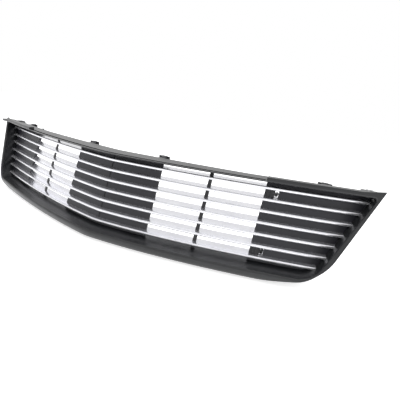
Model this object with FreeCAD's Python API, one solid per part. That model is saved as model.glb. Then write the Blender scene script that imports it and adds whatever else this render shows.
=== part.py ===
import FreeCAD, Part
import os
import math

V = FreeCAD.Vector
os.makedirs("parts", exist_ok=True)

# ---------------------------------------------------------------------------
# Front grille: moulded surround, seven plated slats, blanking panels with
# slotted end webs, posts in two open windows.  Millimetres, +Z up, the front
# faces -Y, +X to the viewer's right as seen from the front.
# While it is modelled, z = 0 is the middle of slat 1's nose and y = 0 is that
# nose at the centre line.  At the end everything is moved so that the origin
# is midway between the two ear bolt holes, on the upper face of the ears.
# ---------------------------------------------------------------------------

# plan curve of the slat noses (sweep back with distance from the centre)
PLAN_A1 = 0.0931          # slope just off the centre line
PLAN_A2 = 2.995e-4        # growth of the slope
PLAN_A3 = -1.054e-7       # easing towards the ends
NOSE_SOFT = 9.0           # rounding of the centre crease
RAKE = 0.385              # the face leans back: mm of +Y per mm of +Z

# slats
PITCH = 21.0
N_SLATS = 7
SLAT_T = 6.0              # thickness at the nose
SLAT_T_REAR = 4.6         # thickness at the rear edge
SLAT_D = 26.0             # depth, nose to rear edge
SLAT_NOSE_R = 2.3
END_X0 = 504.5            # inner wall of the jamb at z = 0
END_SLOPE = 0.457         # mm of x per mm of z
SLAT_IN_JAMB = 3.0        # how far a slat runs into its pocket

# surround
LIP = -25.0               # front lip, ahead of the slat noses
WALL_BACK = 26.0          # rear edge of the surround's walls, flush with the slats
TOP_BACK = 16.0           # rear edge of the top rail outboard of X_RAISED
OUT_X0 = 510.0            # outer outline of the jamb at z = 0
OUT_SLOPE = 0.41
Z_RAISED = 24.0           # top of the raised end portions
Z_TOP = 18.0              # upper face of the flange between them
Z_UNDER = 15.0            # under face of the flange
Z_CREST = -139.0          # crest of the lower lip, just under the shelf
Z_SHELF = -135.5          # upper face of the shelf under slat 7
Z_BOTTOM = -156.0
LOW_A = (335.0, -156.0)   # the bottom edge starts to rise here
LOW_B = (433.0, -138.5)   # and meets the corner here
LOW_S = -110.0            # the jamb's outline starts to turn in here
R_LOW = (240.0, 60.0, 70.0)   # rounding at those three places
R_IN_CORNER = 40.0        # lower corners of the opening
R_IN_TOP = 5.0            # upper corners of the opening
R_LIP_IN = 3.0            # rounding of the lip's inner edge
LOW_LIP_BACK = -8.0       # lower edge of the lip
X_RAISED = 326.0          # raised portions start here
RAISED_D = 15.0           # and are this deep
FLANGE_BACK_MID = 30.0    # rear edge of the flange at the centre
FLANGE_BACK_DROP = 11.0   # and this much less at X_RAISED
GROOVE_W = 7.0
GROOVE_D = 2.2
GROOVE_BACK = 3.5         # from the front of the lip

# windows, posts, panels
W_IN = 116.0              # inner edge of each window
W_OUT = 324.0             # outer edge
POST_X = 218.3
POST_W = 7.0
PANEL_BACK = 10.5         # panel face behind the slat noses
PANEL_T = 2.5
WEB_T = 6.0
POST_T = 3.0
SPINE_BACK = 33.0         # rear edge of the webs
SEAM_W = 3.0
WEB_IN_X = 84.0           # inboard edge of the centre panels' web
WEB_OUT_X = 354.0         # inboard edge of the outer panels' web
OUTER_WEB_X = 424.0       # outboard web of the outer panels

# ears and tabs
EAR_X0 = 488.0            # the ears are the ends of the flange, behind the raised ends
EAR_HOLE_X = 503.0
EAR_HOLE_Y = 120.0
EAR_HOLE_R = 3.3
EAR_T = 5.0
Z_EAR = 20.0              # upper face of the ears
EAR_REAR = 132.0
HORN_X = 485.0            # the lip rises from here
HORN_Z = 28.0             # to this at the corners
LUG = (-547.0, -515.0, 97.0, 119.0, 15.0, 21.5)   # locating lug, left end only
TOP_TABS = [(101.0, 26.0, 20.4), (426.0, 26.0, 18.8)]   # (x, width, top) on each side
TAB_STEM_W = 14.0
TAB_REACH = 15.0
TAB_Z0 = 12.0             # bottom of the tabs' cross bars
LOW_TAB_X = 250.0
LOW_TAB_W = 30.0
LOW_HOLE_R = 3.3

# badge sockets, right-hand outer panel only
SOCK_X = 346.0
SOCK_ROWS = [1, 6]
SOCK_BORE_R = 1.6
SOCK_BORE_L = 7.0


# ------------------------------------------------------------------ curves
def f(x):
    a = math.sqrt(x * x + NOSE_SOFT * NOSE_SOFT) - NOSE_SOFT
    return PLAN_A1 * a + PLAN_A2 * a * a + PLAN_A3 * a ** 3


def g(x):
    return f(x) + FLANGE_BACK_MID - FLANGE_BACK_DROP * (x / X_RAISED) ** 2


_half = [4, 8, 12, 17, 23, 30, 40, 55, 75, 100, 130, 165, 200, 240, 280,
         320, 360, 400, 440, 480, 520, 560]
XS = [-float(v) for v in reversed(_half)] + [0.0] + [float(v) for v in _half]


def plan(fn):
    c = Part.BSplineCurve()
    c.interpolate(Points=[V(x, fn(x), 0) for x in XS], Parameters=XS)
    return c


FRONT = plan(f)
REAR = plan(g)


def piece_of(curve, x0, x1):
    c = curve.copy()
    c.segment(x0, x1)
    return c


# Solid whose YZ section is constant while it follows a plan curve.
# path: list of (y, z) points; an entry ('a', (ym, zm), (y, z)) is an arc to
# (y, z) through (ym, zm).  y is measured from the plan curve.
def follow(curve, x0, x1, path):
    c = piece_of(curve, x0, x1)
    faces = []
    capedges0, capedges1 = [], []
    p0 = c.value(c.FirstParameter)
    p1 = c.value(c.LastParameter)
    start = path[0]
    cur = start
    segs = []
    for item in path[1:]:
        if item[0] == 'a':
            segs.append(('a', cur, item[1], item[2]))
            cur = item[2]
        else:
            segs.append(('l', cur, item))
            cur = item
    segs.append(('l', cur, start))
    for s in segs:
        if s[0] == 'l':
            a, b = s[1], s[2]
            if abs(a[0] - b[0]) < 1e-9 and abs(a[1] - b[1]) < 1e-9:
                continue
            e = c.toShape()
            e.translate(V(0, a[0], a[1]))
            faces.append(e.extrude(V(0, b[0] - a[0], b[1] - a[1])))
            for base, lst in ((p0, capedges0), (p1, capedges1)):
                lst.append(Part.makeLine(base + V(0, a[0], a[1]),
                                         base + V(0, b[0], b[1])))
        else:
            a, m, b = s[1], s[2], s[3]
            arc = Part.Arc(V(0, a[0], a[1]), V(0, m[0], m[1]),
                           V(0, b[0], b[1])).toBSpline()
            cp, cm, ck, cd = (c.getPoles(), c.getMultiplicities(),
                              c.getKnots(), c.Degree)
            dp, dm, dk, dd = (arc.getPoles(), arc.getMultiplicities(),
                              arc.getKnots(), arc.Degree)
            dw = arc.getWeights()
            poles = [[P + D for D in dp] for P in cp]
            wts = [[w for w in dw] for P in cp]
            s2 = Part.BSplineSurface()
            s2.buildFromPolesMultsKnots(poles, cm, dm, ck, dk, False, False,
                                        cd, dd, wts)
            faces.append(s2.toShape())
            for base, lst in ((p0, capedges0), (p1, capedges1)):
                lst.append(Part.Arc(base + V(0, a[0], a[1]),
                                    base + V(0, m[0], m[1]),
                                    base + V(0, b[0], b[1])).toShape())
    for lst in (capedges0, capedges1):
        faces.append(Part.Face(Part.Wire(lst)))
    sh = Part.Shell(faces)
    sh.sewShape()
    so = Part.Solid(sh)
    if so.Volume < 0:
        so.reverse()
    return so


def box(x0, x1, y0, y1, z0, z1):
    return Part.makeBox(x1 - x0, y1 - y0, z1 - z0, V(x0, y0, z0))


def cyl(r, h, p, d):
    return Part.makeCylinder(r, h, V(*p), V(*d))


def yb(z, back):
    """y, from the plan curve, of a point at height z, `back` behind the raked face"""
    return RAKE * z + back


# closed XZ outline pulled through Y
def outline(pts, radii=None):
    w = Part.makePolygon([V(x, -150, z) for x, z in pts] +
                         [V(pts[0][0], -150, pts[0][1])])
    pr = Part.Face(w).extrude(V(0, 500, 0))
    if radii:
        for (cx, cz), r in radii:
            es = [e for e in pr.Edges
                  if len(e.Vertexes) == 2 and
                  abs(e.Vertexes[0].X - cx) < 0.01 and
                  abs(e.Vertexes[1].X - cx) < 0.01 and
                  abs(e.Vertexes[0].Z - cz) < 0.01 and
                  abs(e.Vertexes[1].Z - cz) < 0.01]
            pr = pr.makeFillet(r, es)
    return pr


def x_in(z):
    return END_X0 + END_SLOPE * z


def x_out(z):
    return OUT_X0 + OUT_SLOPE * z


def one(shape):
    """the single solid of a shape, cleaned"""
    s = shape.removeSplitter()
    sol = s.Solids
    if len(sol) != 1:
        sol = sorted(sol, key=lambda q: -q.Volume)
        print("  solids:", [round(q.Volume, 1) for q in sol])
    return sol[0]


# ------------------------------------------------------------------- slats
def slat_profile(extra=0.0):
    t = SLAT_T / 2.0
    r = SLAT_NOSE_R
    k = r * (1 - math.sqrt(0.5))
    return [(SLAT_D, t), (r, t),
            ('a', (k, t - k), (0.0, t - r)),
            (0.0, -t + r),
            ('a', (k, -t + k), (r, -t)),
            (SLAT_D, t - SLAT_T_REAR)]


slats = []
for j in range(N_SLATS):
    zj = -PITCH * j
    xe = x_in(zj) + SLAT_IN_JAMB
    s = follow(FRONT, -xe, xe, slat_profile())
    s.translate(V(0, RAKE * zj, zj))
    slats.append(s)
print("slat", slats[0].isValid(), round(slats[0].Volume))

# ---------------------------------------------------------------- surround
zc, zb, zt = Z_CREST, Z_BOTTOM, Z_RAISED
yc = yb(zc, LIP)
ybot = yb(zb, LOW_LIP_BACK)
mid = ((yc + ybot) / 2 - 3.6, (zc + zb) / 2 - 2.2)
ring = follow(FRONT, -545.0, 545.0,
              [(yb(zt, LIP), zt), (yc, zc),
               ('a', mid, (ybot, zb)),
               (yb(zb, WALL_BACK), zb), (yb(zt, WALL_BACK), zt)])
low = [(x_out(LOW_S), LOW_S), LOW_B, LOW_A]
low_r = [(q, r) for q, r in zip(low, (R_LOW[2], R_LOW[1], R_LOW[0]))]
outer = outline([(-x_out(zt), zt), (x_out(zt), zt)] + low +
                [(-x, z) for x, z in reversed(low)],
                low_r + [((-x, z), r) for (x, z), r in low_r])
inner = outline([(-x_in(Z_UNDER), Z_UNDER), (x_in(Z_UNDER), Z_UNDER),
                 (x_in(Z_SHELF), Z_SHELF), (-x_in(Z_SHELF), Z_SHELF)],
                [((x_in(Z_SHELF), Z_SHELF), R_IN_CORNER),
                 ((-x_in(Z_SHELF), Z_SHELF), R_IN_CORNER),
                 ((x_in(Z_UNDER), Z_UNDER), R_IN_TOP),
                 ((-x_in(Z_UNDER), Z_UNDER), R_IN_TOP)])
frame = ring.common(outer).cut(inner)


def on_lip(e):
    """True if the edge lies on the front face and on the outline of the opening"""
    t0, t1 = e.ParameterRange
    for i in range(7):
        q = e.valueAt(t0 + (t1 - t0) * i / 6.0)
        if abs(q.y - f(q.x) - yb(q.z, LIP)) > 0.3 or abs(q.x) > x_in(q.z) + 0.1 or \
                not Z_SHELF - 0.3 < q.z < Z_UNDER + 0.1:
            return False
    return True


frame = frame.makeFillet(R_LIP_IN, [e for e in frame.Edges if on_lip(e)])
print("ring", frame.isValid(), round(frame.Volume))

# flange between the raised ends, and behind them
frame = frame.cut(box(-X_RAISED, X_RAISED, -100, 250, Z_TOP, 40))
frame = frame.cut(follow(FRONT, -545, 545,
                         [(yb(Z_TOP, LIP + RAISED_D), Z_TOP),
                          (yb(Z_TOP, 60), Z_TOP), (yb(40, 60), 40),
                          (yb(40, LIP + RAISED_D) - 8, 40)]))
frame = frame.cut(follow(FRONT, -500, 500,
                         [(yb(Z_UNDER, TOP_BACK), Z_UNDER - 1),
                          (yb(Z_UNDER, 80), Z_UNDER - 1), (yb(40, 80), 40),
                          (yb(Z_UNDER, TOP_BACK), 40)]))
ext = follow(FRONT, -X_RAISED, X_RAISED,
             [(5.0, Z_UNDER), (48.0, Z_UNDER), (48.0, Z_TOP), (5.0, Z_TOP)])
ext = ext.cut(follow(REAR, -X_RAISED - 5, X_RAISED + 5,
                     [(0, 5), (60, 5), (60, 30), (0, 30)]))
frame = frame.fuse(ext)
# drip groove behind the front lip
frame = frame.cut(follow(FRONT, -X_RAISED + 2, X_RAISED - 2,
                         [(yb(Z_TOP, LIP) + GROOVE_BACK, Z_TOP - GROOVE_D),
                          (yb(Z_TOP, LIP) + GROOVE_BACK + GROOVE_W, Z_TOP - GROOVE_D),
                          (yb(Z_TOP, LIP) + GROOVE_BACK + GROOVE_W, Z_TOP + 1),
                          (yb(Z_TOP, LIP) + GROOVE_BACK, Z_TOP + 1)]))
# the valance is a channel, open at the rear
cav = follow(FRONT, -330.0, 330.0,
             [(yb(-138.5, -18.0), -138.5), (yb(-138.5, 40.0), -138.5),
              (yb(-153.0, 40.0), -153.0), (yb(-153.0, -3.0), -153.0)])
cav = cav.cut(box(-3, 3, -100, 200, -160, -130))
frame = frame.cut(cav)
print("channel", frame.isValid(), round(frame.Volume))

# tabs on the rear edge of the flange
def tab_root(tx):
    """rear edge of the flange at a top tab"""
    return g(tx) if tx < X_RAISED else f(tx) + yb(Z_TOP, TOP_BACK)


for (tx, tw, tz) in TOP_TABS:
    for sx in (-1, 1):
        y0 = tab_root(tx)
        frame = frame.fuse(box(sx * tx - TAB_STEM_W / 2, sx * tx + TAB_STEM_W / 2,
                               y0 - 8, y0 + TAB_REACH, Z_UNDER, Z_TOP))
        frame = frame.fuse(box(sx * tx - tw / 2, sx * tx + tw / 2,
                               y0 + TAB_REACH - 3, y0 + TAB_REACH, TAB_Z0, tz))
# ears: the ends of the flange, with a bolt hole each
for sx in (-1, 1):
    xa, xb = sorted((sx * EAR_X0, sx * 511.0))
    frame = frame.fuse(box(xa, xb, EAR_REAR - 24, EAR_REAR, Z_EAR - EAR_T, Z_EAR))
    frame = frame.cut(box(xa, xb, EAR_REAR, 200, Z_EAR - EAR_T - 0.01, Z_EAR + 0.01))
    frame = frame.cut(cyl(EAR_HOLE_R, 12, (sx * EAR_HOLE_X, EAR_HOLE_Y, Z_EAR - 8), (0, 0, 1)))
    # the lip runs up to a point at the corner
    horn = follow(FRONT, min(sx * HORN_X, sx * 530.0), max(sx * HORN_X, sx * 530.0),
                  [(yb(Z_RAISED - 1, LIP), Z_RAISED - 1), (yb(HORN_Z, LIP), HORN_Z),
                   (yb(HORN_Z, LIP) + 3.5, HORN_Z), (yb(Z_RAISED - 1, LIP) + 3.5, Z_RAISED - 1)])
    frame = frame.fuse(horn.common(outline([
        (sx * HORN_X, Z_RAISED - 1), (sx * HORN_X, Z_RAISED),
        (sx * x_out(HORN_Z), HORN_Z), (sx * x_out(Z_RAISED - 1), Z_RAISED - 1)])))
frame = frame.fuse(box(*LUG))
# lower tabs with their holes
low_y = f(LOW_TAB_X) + yb(-154.5, WALL_BACK)
for sx in (-1, 1):
    x0, x1 = sx * LOW_TAB_X - LOW_TAB_W / 2, sx * LOW_TAB_X + LOW_TAB_W / 2
    frame = frame.fuse(box(x0, x1, low_y - 14, low_y + 24, Z_BOTTOM, Z_BOTTOM + 3.0))
    frame = frame.cut(cyl(LOW_HOLE_R, 12, (sx * LOW_TAB_X, low_y + 10, Z_BOTTOM - 6), (0, 0, 1)))
for s in slats:
    frame = frame.cut(s)
frame = one(frame)
print("surround", frame.isValid(), round(frame.Volume))

parts = {}
parts["surround_frame"] = frame

# ----------------------------------------------------- panels, posts, rib
def raked(x0, x1, b0, b1, z0=Z_SHELF, z1=Z_UNDER):
    return follow(FRONT, x0, x1, [(yb(z1, b0), z1), (yb(z0, b0), z0),
                                  (yb(z0, b1), z0), (yb(z1, b1), z1)])


def cut_slats(s):
    for q in slats:
        s = s.cut(q)
    return s


def panel(x0, x1, webs):
    s = raked(x0, x1, PANEL_BACK, PANEL_BACK + PANEL_T)
    for w in webs:
        s = s.fuse(raked(w, w + WEB_T, PANEL_BACK, SPINE_BACK))
    return s.common(inner)


sw = SEAM_W / 2
p_cr = panel(sw, W_IN, [7.0, WEB_IN_X])
p_cl = panel(-W_IN, -sw, [-7.0 - WEB_T, -WEB_IN_X - WEB_T])
p_r = panel(W_OUT, 515.0, [WEB_OUT_X, OUTER_WEB_X])
p_l = panel(-515.0, -W_OUT, [-WEB_OUT_X - WEB_T, -OUTER_WEB_X - WEB_T])

# slots beside the badge sockets
sock_y = {}
for row in SOCK_ROWS:
    zr = -PITCH * (row - 0.5)
    yp = f(SOCK_X) + yb(zr, PANEL_BACK)
    sock_y[row] = (yp, zr)
    p_r = p_r.cut(box(SOCK_X - 3.5, SOCK_X + 3.5, yp - 15, yp + 15, zr - 7.0, zr + 7.0))
# each post is one flat strip, threaded through slots in the slats and seated
# in pockets in the shelf and in the flange
post_r = raked(POST_X - POST_W / 2, POST_X + POST_W / 2, PANEL_BACK, PANEL_BACK + POST_T,
               Z_SHELF - 1.8, Z_UNDER + 1.5)
post_l = raked(-POST_X - POST_W / 2, -POST_X + POST_W / 2, PANEL_BACK, PANEL_BACK + POST_T,
               Z_SHELF - 1.8, Z_UNDER + 1.5)
for q in (post_l, post_r):
    slats = [s.cut(q) for s in slats]
    frame = frame.cut(q)
frame = one(frame)
parts["surround_frame"] = frame
rib = raked(-sw, sw, PANEL_BACK + 1.2, PANEL_BACK + PANEL_T + 2)
rib = rib.fuse(raked(-5.5, 5.5, PANEL_BACK + PANEL_T, SPINE_BACK))
# the seam rib's tongue lies between the two centre panels
named = [("blanking_panel_centre_right", p_cr), ("blanking_panel_centre_left", p_cl),
         ("blanking_panel_right", p_r), ("blanking_panel_left", p_l),
         ("window_post_right", post_r), ("window_post_left", post_l),
         ("centre_seam_rib", rib)]
for n, s in named:
    parts[n] = s if n.startswith("window_post") else cut_slats(s)

# ------------------------------------------------------------ badge sockets
for row, name in zip(SOCK_ROWS, ("upper_badge_socket", "lower_badge_socket")):
    yp, zr = sock_y[row]
    # pad on the panel face, following its lean, with two upright ribs
    pad = follow(FRONT, W_OUT + 2.0, SOCK_X - 3.0,
                 [(yb(zr + 6.2, PANEL_BACK - 2.0), zr + 6.2),
                  (yb(zr - 6.2, PANEL_BACK - 2.0), zr - 6.2),
                  (yb(zr - 6.2, PANEL_BACK), zr - 6.2),
                  (yb(zr + 6.2, PANEL_BACK), zr + 6.2)])
    for xr in (W_OUT + 5.0, W_OUT + 11.0):
        pad = pad.fuse(follow(FRONT, xr, xr + 2.0,
                              [(yb(zr + 5.2, PANEL_BACK - 3.6), zr + 5.2),
                               (yb(zr - 5.2, PANEL_BACK - 3.6), zr - 5.2),
                               (yb(zr - 5.2, PANEL_BACK - 1.5), zr - 5.2),
                               (yb(zr + 5.2, PANEL_BACK - 1.5), zr + 5.2)]))
    arm = box(SOCK_X - 8, SOCK_X, yp - 3.2, yp - 0.9, zr - 2.2, zr + 2.2)
    boss = cyl(3.4, 11.0, (SOCK_X, yp - 6.0, zr), (0, 1, 0))
    s = pad.fuse(arm).fuse(boss)
    s = s.cut(cyl(SOCK_BORE_R, SOCK_BORE_L + 1, (SOCK_X, yp - 7.0, zr), (0, 1, 0)))
    parts[name] = s
    parts["blanking_panel_right"] = parts["blanking_panel_right"].cut(s)

# --------------------------------------------------------------- fasteners
def screw(p, d, r=1.0, length=10.0, head_r=2.4, head_h=1.6):
    """pan head at p, shank pointing along d"""
    dv = V(*d)
    base = V(*p)
    h = Part.makeCylinder(head_r, head_h, base - dv * head_h, dv)
    e = [q for q in h.Edges if q.Closed and abs((q.CenterOfMass - (base - dv * head_h)).Length) < 1e-6]
    h = h.makeFillet(0.6, e)
    s = Part.makeCylinder(r, length, base, dv)
    k = Part.makeBox(head_r * 1.2, 0.5, 0.5, V(-head_r * 0.6, -0.25, -0.25))
    return h.fuse(s)


# slat screws: through the rear edge of each carrier into the slat
carriers = [("blanking_panel_centre_left", -WEB_IN_X - WEB_T / 2),
            ("blanking_panel_centre_right", WEB_IN_X + WEB_T / 2),
            ("centre_seam_rib", 0.0),
            ("blanking_panel_left", -WEB_OUT_X - WEB_T / 2),
            ("blanking_panel_right", WEB_OUT_X + WEB_T / 2)]
slat_screws = []
z_off = SLAT_T / 2 - SLAT_T_REAR / 2
for name, cx in carriers:
    body = parts[name]
    for j in range(N_SLATS):
        zj = -PITCH * j + z_off
        ys = f(cx) + yb(-PITCH * j, 0) + RAKE * z_off + SPINE_BACK
        # flat seat for the head
        seat_y = ys - 1.8
        body = body.cut(cyl(2.7, 6, (cx, seat_y, zj), (0, 1, 0)))
        body = body.cut(cyl(1.1, 30, (cx, seat_y - 12, zj), (0, 1, 0)))
        slats[j] = slats[j].cut(cyl(1.0, 30, (cx, seat_y - 12.0, zj), (0, 1, 0)))
        slat_screws.append(screw((cx, seat_y, zj), (0, -1, 0), 1.0, 12.0, 2.4, 1.5))
    parts[name] = body

# frame screws: up through the shelf into the carriers
frame_screws = []
fr = parts["surround_frame"]
for name, cx, w in [("centre_seam_rib", 0.0, 0),
                    ("blanking_panel_left", -WEB_OUT_X - WEB_T / 2, 0),
                    ("blanking_panel_right", WEB_OUT_X + WEB_T / 2, 0),
                    ("blanking_panel_centre_left", -WEB_IN_X - WEB_T / 2, 0),
                    ("blanking_panel_centre_right", WEB_IN_X + WEB_T / 2, 0)]:
    yy = f(cx) + yb(Z_SHELF, PANEL_BACK) + 4.0
    zs = Z_SHELF - 3.0
    if abs(cx) < 1 or abs(cx) > 325:
        # here the valance is solid: a pocket from below takes the head
        fr = fr.cut(cyl(3.2, 30, (cx, yy, zs - 30), (0, 0, 1)))
    fr = fr.cut(cyl(1.2, 6, (cx, yy, zs - 1), (0, 0, 1)))
    parts[name] = parts[name].cut(cyl(1.0, 8.0, (cx, yy, Z_SHELF - 1), (0, 0, 1)))
    frame_screws.append(screw((cx, yy, zs), (0, 0, 1), 1.0, 9.5, 2.6, 1.6))
parts["surround_frame"] = fr

# ------------------------------------------------- clips and clip-on nuts
# spring clips astride the tabs' cross bars
top_clips = []
CLIP_T = 0.8
for (tx, tw, tz) in TOP_TABS:
    for sx in (-1, 1):
        y1 = tab_root(tx) + TAB_REACH
        y0 = y1 - 3.0
        cx = sx * tx
        c = box(cx - 6, cx + 6, y0 - CLIP_T, y1 + CLIP_T, TAB_Z0, tz + CLIP_T)
        c = c.cut(box(cx - 7, cx + 7, y0, y1, 0, tz))
        c = c.cut(box(cx - 7, cx + 7, y0 - 5, y0, 0, Z_TOP + 0.05))
        # barb on the rear leg
        c = c.fuse(Part.Face(Part.makePolygon([
            V(cx - 3, y1 + CLIP_T, tz - 1.0), V(cx - 3, y1 + CLIP_T + 2.2, TAB_Z0 + 2.0),
            V(cx - 3, y1 + CLIP_T, TAB_Z0 + 2.0), V(cx - 3, y1 + CLIP_T, tz - 1.0)
        ])).extrude(V(6, 0, 0)))
        top_clips.append(c)
low_clips = []
ear_nuts = []
for sx in (-1, 1):
    # clip-on nut: U round the rear edge of the ear, with a barrel below
    t = 1.0
    cx = sx * EAR_HOLE_X
    o = box(cx - 6, cx + 6, EAR_HOLE_Y - 7, EAR_REAR + t, Z_EAR - EAR_T - t, Z_EAR + t)
    i = box(cx - 7, cx + 7, EAR_HOLE_Y - 8, EAR_REAR, Z_EAR - EAR_T, Z_EAR)
    n = o.cut(i).fuse(cyl(4.6, 4.0, (cx, EAR_HOLE_Y, Z_EAR - EAR_T - t - 4.0), (0, 0, 1)))
    n = n.cut(cyl(3.0, 40, (cx, EAR_HOLE_Y, 0), (0, 0, 1)))
    ear_nuts.append(n)
    # the same on the lower tabs
    ye = low_y + 24
    o = box(sx * LOW_TAB_X - 6, sx * LOW_TAB_X + 6, low_y + 2, ye + t, Z_BOTTOM - t, Z_BOTTOM + 3.0 + t)
    i = box(sx * LOW_TAB_X - 7, sx * LOW_TAB_X + 7, low_y + 1, ye, Z_BOTTOM, Z_BOTTOM + 3.0)
    n = o.cut(i).fuse(cyl(4.6, 5.0, (sx * LOW_TAB_X, low_y + 10, Z_BOTTOM + 3.0 + t), (0, 0, 1)))
    n = n.cut(cyl(3.0, 40, (sx * LOW_TAB_X, low_y + 10, -170), (0, 0, 1)))
    low_clips.append(n)

# foam sealing strip in the groove behind the lip
parts["top_seal"] = follow(FRONT, -X_RAISED + 2.5, X_RAISED - 2.5,
                           [(yb(Z_TOP, LIP) + GROOVE_BACK, Z_TOP - GROOVE_D),
                            (yb(Z_TOP, LIP) + GROOVE_BACK + GROOVE_W, Z_TOP - GROOVE_D),
                            (yb(Z_TOP, LIP) + GROOVE_BACK + GROOVE_W, Z_TOP - 0.4),
                            (yb(Z_TOP, LIP) + GROOVE_BACK, Z_TOP - 0.4)])

for j in range(N_SLATS):
    parts["slat_%d" % (j + 1)] = slats[j]

for n in list(parts):
    parts[n] = one(parts[n])
parts["slat_screws"] = Part.makeCompound([one(s) for s in slat_screws])
parts["frame_screws"] = Part.makeCompound([one(s) for s in frame_screws])
parts["top_clips"] = Part.makeCompound([one(s) for s in top_clips])
parts["ear_nuts"] = Part.makeCompound([one(s) for s in ear_nuts])
parts["lower_nuts"] = Part.makeCompound([one(s) for s in low_clips])

# the outer panels stay clear of the ear bolts
for sx, n in ((-1, "blanking_panel_left"), (1, "blanking_panel_right")):
    parts[n] = one(parts[n].cut(cyl(3.6, 7.2, (sx * EAR_HOLE_X, EAR_HOLE_Y, 8.0), (0, 0, 1))))

# origin: midway between the ear holes, upper face of the ears
shift = V(0, -EAR_HOLE_Y, -Z_EAR)
total = None
for n in sorted(parts):
    s = parts[n]
    s.translate(shift)
    s.exportStep("parts/" + n + ".step")
    b = s.BoundBox
    total = b if total is None else total.united(b)
    print("%-30s %s solids %d  vol %.0f" % (n, s.isValid(), len(s.Solids), s.Volume))
print("box", [round(v, 1) for v in (total.XMin, total.XMax, total.YMin, total.YMax, total.ZMin, total.ZMax)])
yp, zr = sock_y[1]
print("upper socket mouth", SOCK_X, yp - 6.0 + shift.y, zr + shift.z)
yp, zr = sock_y[6]
print("lower socket mouth", SOCK_X, yp - 6.0 + shift.y, zr + shift.z)
print("lower tab holes", LOW_TAB_X, low_y + 10 + shift.y, Z_BOTTOM + shift.z)
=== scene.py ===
import bpy
import bmesh
import math
from mathutils import Vector, Matrix


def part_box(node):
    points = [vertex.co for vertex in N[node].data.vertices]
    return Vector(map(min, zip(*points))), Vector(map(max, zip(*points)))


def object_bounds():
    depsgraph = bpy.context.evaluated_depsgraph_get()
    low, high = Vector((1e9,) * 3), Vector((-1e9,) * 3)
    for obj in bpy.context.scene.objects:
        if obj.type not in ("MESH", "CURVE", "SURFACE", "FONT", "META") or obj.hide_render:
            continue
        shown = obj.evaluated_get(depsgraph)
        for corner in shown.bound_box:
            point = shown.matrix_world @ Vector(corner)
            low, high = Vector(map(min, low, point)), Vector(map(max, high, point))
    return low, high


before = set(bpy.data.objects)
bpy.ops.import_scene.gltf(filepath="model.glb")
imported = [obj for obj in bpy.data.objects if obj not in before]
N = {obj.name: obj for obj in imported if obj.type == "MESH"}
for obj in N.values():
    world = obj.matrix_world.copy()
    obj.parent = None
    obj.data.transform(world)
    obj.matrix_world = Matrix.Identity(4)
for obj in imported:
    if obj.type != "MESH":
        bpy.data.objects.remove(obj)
CAD_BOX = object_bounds()

bpy.context.scene.view_settings.view_transform = "Standard"

# ------------------------------------------------------------------ camera
P = 0.021                       # slat pitch, metres
_s1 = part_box("slat_1")
SHIFT = Vector((0.0, _s1[0][1], _s1[1][2] - 0.003))   # slat 1's nose at the centre line
YAW, PITCH, ROLL = 0.384134, 0.346090, 0.127529
LOC = Vector((18.16343 * P, -19.25836 * P, 5.742275 * P)) + SHIFT
d = Vector((-math.sin(YAW) * math.cos(PITCH), math.cos(YAW) * math.cos(PITCH),
            -math.sin(PITCH)))
r = Vector((math.cos(YAW), math.sin(YAW), 0))
u = r.cross(d)
r2 = math.cos(ROLL) * r + math.sin(ROLL) * u
u2 = -math.sin(ROLL) * r + math.cos(ROLL) * u
cam_data = bpy.data.cameras.new("camera")
cam_data.sensor_width = 36.0
cam_data.lens = 244.585 / 400.0 * 36.0
cam_data.clip_start = 0.01
cam_data.clip_end = 30.0
cam = bpy.data.objects.new("camera", cam_data)
bpy.context.collection.objects.link(cam)
cam.matrix_world = Matrix(((r2.x, u2.x, -d.x, LOC.x), (r2.y, u2.y, -d.y, LOC.y),
                           (r2.z, u2.z, -d.z, LOC.z), (0, 0, 0, 1)))
bpy.context.scene.camera = cam

# --------------------------------------------------------------- materials


def new_mat(name):
    m = bpy.data.materials.new(name)
    m.use_nodes = True
    nt = m.node_tree
    for n in list(nt.nodes):
        nt.nodes.remove(n)
    out = nt.nodes.new("ShaderNodeOutputMaterial")
    b = nt.nodes.new("ShaderNodeBsdfPrincipled")
    nt.links.new(b.outputs["BSDF"], out.inputs["Surface"])
    return m, nt, b


def noise(nt, scale, detail=3.0, rough=0.6, stretch=None, vec=None):
    n = nt.nodes.new("ShaderNodeTexNoise")
    n.inputs["Scale"].default_value = scale
    n.inputs["Detail"].default_value = detail
    n.inputs["Roughness"].default_value = rough
    tc = nt.nodes.new("ShaderNodeTexCoord")
    mp = nt.nodes.new("ShaderNodeMapping")
    if stretch:
        mp.inputs["Scale"].default_value = stretch
    nt.links.new(tc.outputs["Object"], mp.inputs["Vector"])
    nt.links.new(mp.outputs["Vector"], n.inputs["Vector"])
    return n


def ramp(nt, src, stops):
    c = nt.nodes.new("ShaderNodeValToRGB")
    e = c.color_ramp.elements
    while len(e) > 1:
        e.remove(e[-1])
    e[0].position = stops[0][0]
    v = stops[0][1]
    e[0].color = (v[0], v[1], v[2], 1) if isinstance(v, tuple) else (v, v, v, 1)
    for pos, v in stops[1:]:
        q = e.new(pos)
        q.color = (v[0], v[1], v[2], 1) if isinstance(v, tuple) else (v, v, v, 1)
    nt.links.new(src, c.inputs["Fac"])
    return c


def maprange(nt, src, a0, a1, b0, b1):
    n = nt.nodes.new("ShaderNodeMapRange")
    n.inputs["From Min"].default_value = a0
    n.inputs["From Max"].default_value = a1
    n.inputs["To Min"].default_value = b0
    n.inputs["To Max"].default_value = b1
    nt.links.new(src, n.inputs["Value"])
    return n


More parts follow.
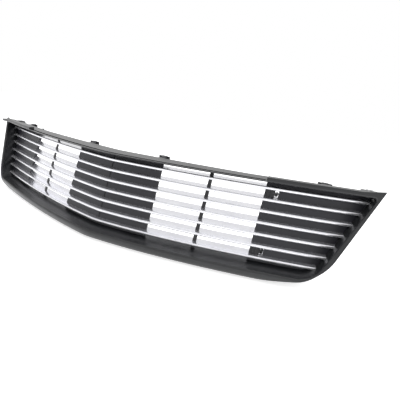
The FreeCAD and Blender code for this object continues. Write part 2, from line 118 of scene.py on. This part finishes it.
def edge_mask(nt, radius):
    """1 on sharp edges, 0 on open faces"""
    bv = nt.nodes.new("ShaderNodeBevel")
    bv.samples = 4
    bv.inputs["Radius"].default_value = radius
    g = nt.nodes.new("ShaderNodeNewGeometry")
    dot = nt.nodes.new("ShaderNodeVectorMath")
    dot.operation = "DOT_PRODUCT"
    nt.links.new(bv.outputs["Normal"], dot.inputs[0])
    nt.links.new(g.outputs["Normal"], dot.inputs[1])
    return maprange(nt, dot.outputs["Value"], 0.995, 0.86, 0.0, 1.0)


def plastic(name, dark, light, rough, grain_scale, grain, spec=0.5, wear=0.5,
            wear_col=(0.07, 0.07, 0.075), coat=0.0):
    """moulded plastic: fine grain, faint flow mottle, rubbed edges"""
    m, nt, b = new_mat(name)
    L = nt.links.new
    flow = noise(nt, 14.0, 4.0, 0.6)
    fine = noise(nt, grain_scale, 2.0, 0.55)
    vor = nt.nodes.new("ShaderNodeTexVoronoi")
    vor.inputs["Scale"].default_value = grain_scale * 0.55
    tc = nt.nodes.new("ShaderNodeTexCoord")
    L(tc.outputs["Object"], vor.inputs["Vector"])
    base = ramp(nt, flow.outputs["Fac"], [(0.32, dark), (0.68, light)])
    em = edge_mask(nt, 0.0009)
    spot = noise(nt, 160.0, 3.0, 0.7)
    sm = maprange(nt, spot.outputs["Fac"], 0.4, 0.68, 0.0, wear)
    mul = nt.nodes.new("ShaderNodeMath")
    mul.operation = "MULTIPLY"
    L(em.outputs["Result"], mul.inputs[0])
    L(sm.outputs["Result"], mul.inputs[1])
    mix = nt.nodes.new("ShaderNodeMix")
    mix.data_type = "RGBA"
    L(mul.outputs["Value"], mix.inputs["Factor"])
    L(base.outputs["Color"], mix.inputs["A"])
    mix.inputs["B"].default_value = (wear_col[0], wear_col[1], wear_col[2], 1)
    L(mix.outputs["Result"], b.inputs["Base Color"])
    rr = maprange(nt, fine.outputs["Fac"], 0.3, 0.7, rough - 0.04, rough + 0.05)
    r3 = nt.nodes.new("ShaderNodeMath")
    r3.operation = "ADD"
    fr = maprange(nt, flow.outputs["Fac"], 0.3, 0.7, -0.03, 0.03)
    L(rr.outputs["Result"], r3.inputs[0])
    L(fr.outputs["Result"], r3.inputs[1])
    L(r3.outputs["Value"], b.inputs["Roughness"])
    b.inputs["Specular IOR Level"].default_value = spec
    b.inputs["Coat Weight"].default_value = coat
    bp = nt.nodes.new("ShaderNodeBump")
    bp.inputs["Strength"].default_value = grain
    bp.inputs["Distance"].default_value = 0.0002
    add = nt.nodes.new("ShaderNodeMath")
    add.operation = "ADD"
    L(fine.outputs["Fac"], add.inputs[0])
    L(vor.outputs["Distance"], add.inputs[1])
    L(add.outputs["Value"], bp.inputs["Height"])
    L(bp.outputs["Normal"], b.inputs["Normal"])
    return m


def metal(name, c0, c1, rough, stretch, scale, bump, wear_col=None, mott=30.0):
    """plated or bare metal: fine directional lines, faint mottle"""
    m, nt, b = new_mat(name)
    L = nt.links.new
    lines = noise(nt, scale, 4.0, 0.6, stretch)
    mottle = noise(nt, mott, 3.0, 0.55)
    base = ramp(nt, mottle.outputs["Fac"], [(0.3, c0), (0.7, c1)])
    if wear_col:
        em = edge_mask(nt, 0.0006)
        mix = nt.nodes.new("ShaderNodeMix")
        mix.data_type = "RGBA"
        L(em.outputs["Result"], mix.inputs["Factor"])
        L(base.outputs["Color"], mix.inputs["A"])
        mix.inputs["B"].default_value = (wear_col[0], wear_col[1], wear_col[2], 1)
        L(mix.outputs["Result"], b.inputs["Base Color"])
    else:
        L(base.outputs["Color"], b.inputs["Base Color"])
    b.inputs["Metallic"].default_value = 1.0
    rr = maprange(nt, lines.outputs["Fac"], 0.3, 0.7, rough - 0.04, rough + 0.05)
    L(rr.outputs["Result"], b.inputs["Roughness"])
    bp = nt.nodes.new("ShaderNodeBump")
    bp.inputs["Strength"].default_value = bump
    bp.inputs["Distance"].default_value = 0.0001
    L(lines.outputs["Fac"], bp.inputs["Height"])
    L(bp.outputs["Normal"], b.inputs["Normal"])
    return m


M_SURROUND = plastic("surround_plastic", (0.0105, 0.0112, 0.0125), (0.0165, 0.0172, 0.019),
                     0.30, 1700.0, 0.16)
M_PANEL = plastic("panel_plastic", (0.0115, 0.0115, 0.0165), (0.017, 0.017, 0.0225),
                  0.42, 1500.0, 0.12)
M_POST = plastic("post_plastic", (0.010, 0.010, 0.012), (0.016, 0.016, 0.018),
                 0.40, 1500.0, 0.12)
M_SOCKET = plastic("socket_plastic", (0.009, 0.009, 0.0105), (0.014, 0.014, 0.016),
                   0.26, 1500.0, 0.05, wear=0.3)
M_SLAT = metal("slat_bright", (0.72, 0.72, 0.76), (0.80, 0.80, 0.83), 0.2,
               (1.0, 14.0, 14.0), 90.0, 0.05)
M_SLAT.node_tree.nodes["Principled BSDF"].inputs["Metallic"].default_value = 0.86
M_ZINC = metal("screw_steel", (0.50, 0.49, 0.44), (0.66, 0.65, 0.60), 0.32,
               (1.0, 1.0, 1.0), 900.0, 0.2, (0.75, 0.74, 0.70), 260.0)
M_SPRING = metal("spring_steel", (0.26, 0.26, 0.27), (0.38, 0.38, 0.39), 0.42,
                 (1.0, 1.0, 1.0), 700.0, 0.3, (0.28, 0.28, 0.29), 180.0)

# seal strip in the top rail's groove, coloured near-black as painted shade for the groove's
# shadow line: coarse pores, no shine
M_SEAL_PAINTED_SHADE = plastic("seal_foam", (0.004, 0.004, 0.0045), (0.009, 0.009, 0.0095), 0.9,
                 900.0, 0.9, spec=0.05, wear=0.0)

BY = {"surround_frame": M_SURROUND, "window_post_left": M_POST,
      "window_post_right": M_POST, "centre_seam_rib": M_POST,
      "upper_badge_socket": M_SOCKET, "lower_badge_socket": M_SOCKET,
      "slat_screws": M_ZINC, "frame_screws": M_ZINC, "top_clips": M_SPRING,
      "ear_nuts": M_SPRING, "lower_nuts": M_SPRING, "top_seal": M_SEAL_PAINTED_SHADE}
for nm in N:
    o = N[nm]
    if nm.startswith("slat_") and nm != "slat_screws":
        mt = M_SLAT
    elif nm.startswith("blanking_panel"):
        mt = M_PANEL
    else:
        mt = BY[nm]
    if not o.data.materials:
        o.data.materials.append(mt)
    for k in range(len(o.material_slots)):
        o.material_slots[k].link = "OBJECT"
        o.material_slots[k].material = mt

# -------------------------------------------------------------- floor, light
FLOOR_Z = CAD_BOX[0][2] - 0.001


def plane(name, x0, x1, y0, y1, z, mat):
    me = bpy.data.meshes.new(name)
    me.from_pydata([(x0, y0, z), (x1, y0, z), (x1, y1, z), (x0, y1, z)], [], [(0, 1, 2, 3)])
    o = bpy.data.objects.new(name, me)
    bpy.context.collection.objects.link(o)
    me.materials.append(mat)
    return o


mf, nt, b = new_mat("floor_paper")
n1 = noise(nt, 3.0, 2.0, 0.5)
cr = ramp(nt, n1.outputs["Fac"], [(0.3, (0.93, 0.93, 0.935)), (0.7, (0.95, 0.95, 0.952))])
nt.links.new(cr.outputs["Color"], b.inputs["Base Color"])
b.inputs["Roughness"].default_value = 0.9
b.inputs["Specular IOR Level"].default_value = 0.1
b.inputs["Emission Color"].default_value = (1.0, 1.0, 1.0, 1)
b.inputs["Emission Strength"].default_value = 0.6
floor = plane("floor", -12, 12, -12, 12, FLOOR_Z, mf)

world = bpy.data.worlds.new("world")
bpy.context.scene.world = world
world.use_nodes = True
wn = world.node_tree
bg = wn.nodes["Background"]
bg.inputs["Color"].default_value = (1.0, 1.0, 1.0, 1)
bg.inputs["Strength"].default_value = 1.0


def area(name, loc, target, sx, sy, power, col=(1, 1, 1)):
    ld = bpy.data.lights.new(name, "AREA")
    ld.shape = "RECTANGLE"
    ld.size = sx
    ld.size_y = sy
    ld.energy = power
    ld.color = col
    o = bpy.data.objects.new(name, ld)
    bpy.context.collection.objects.link(o)
    o.location = loc
    dv = (Vector(target) - Vector(loc)).normalized()
    o.rotation_euler = dv.to_track_quat("-Z", "Y").to_euler()
    return o


area("key", (0.0, 0.6, 2.2), (0.0, 0.0, -0.1), 2.6, 2.0, 22.0)
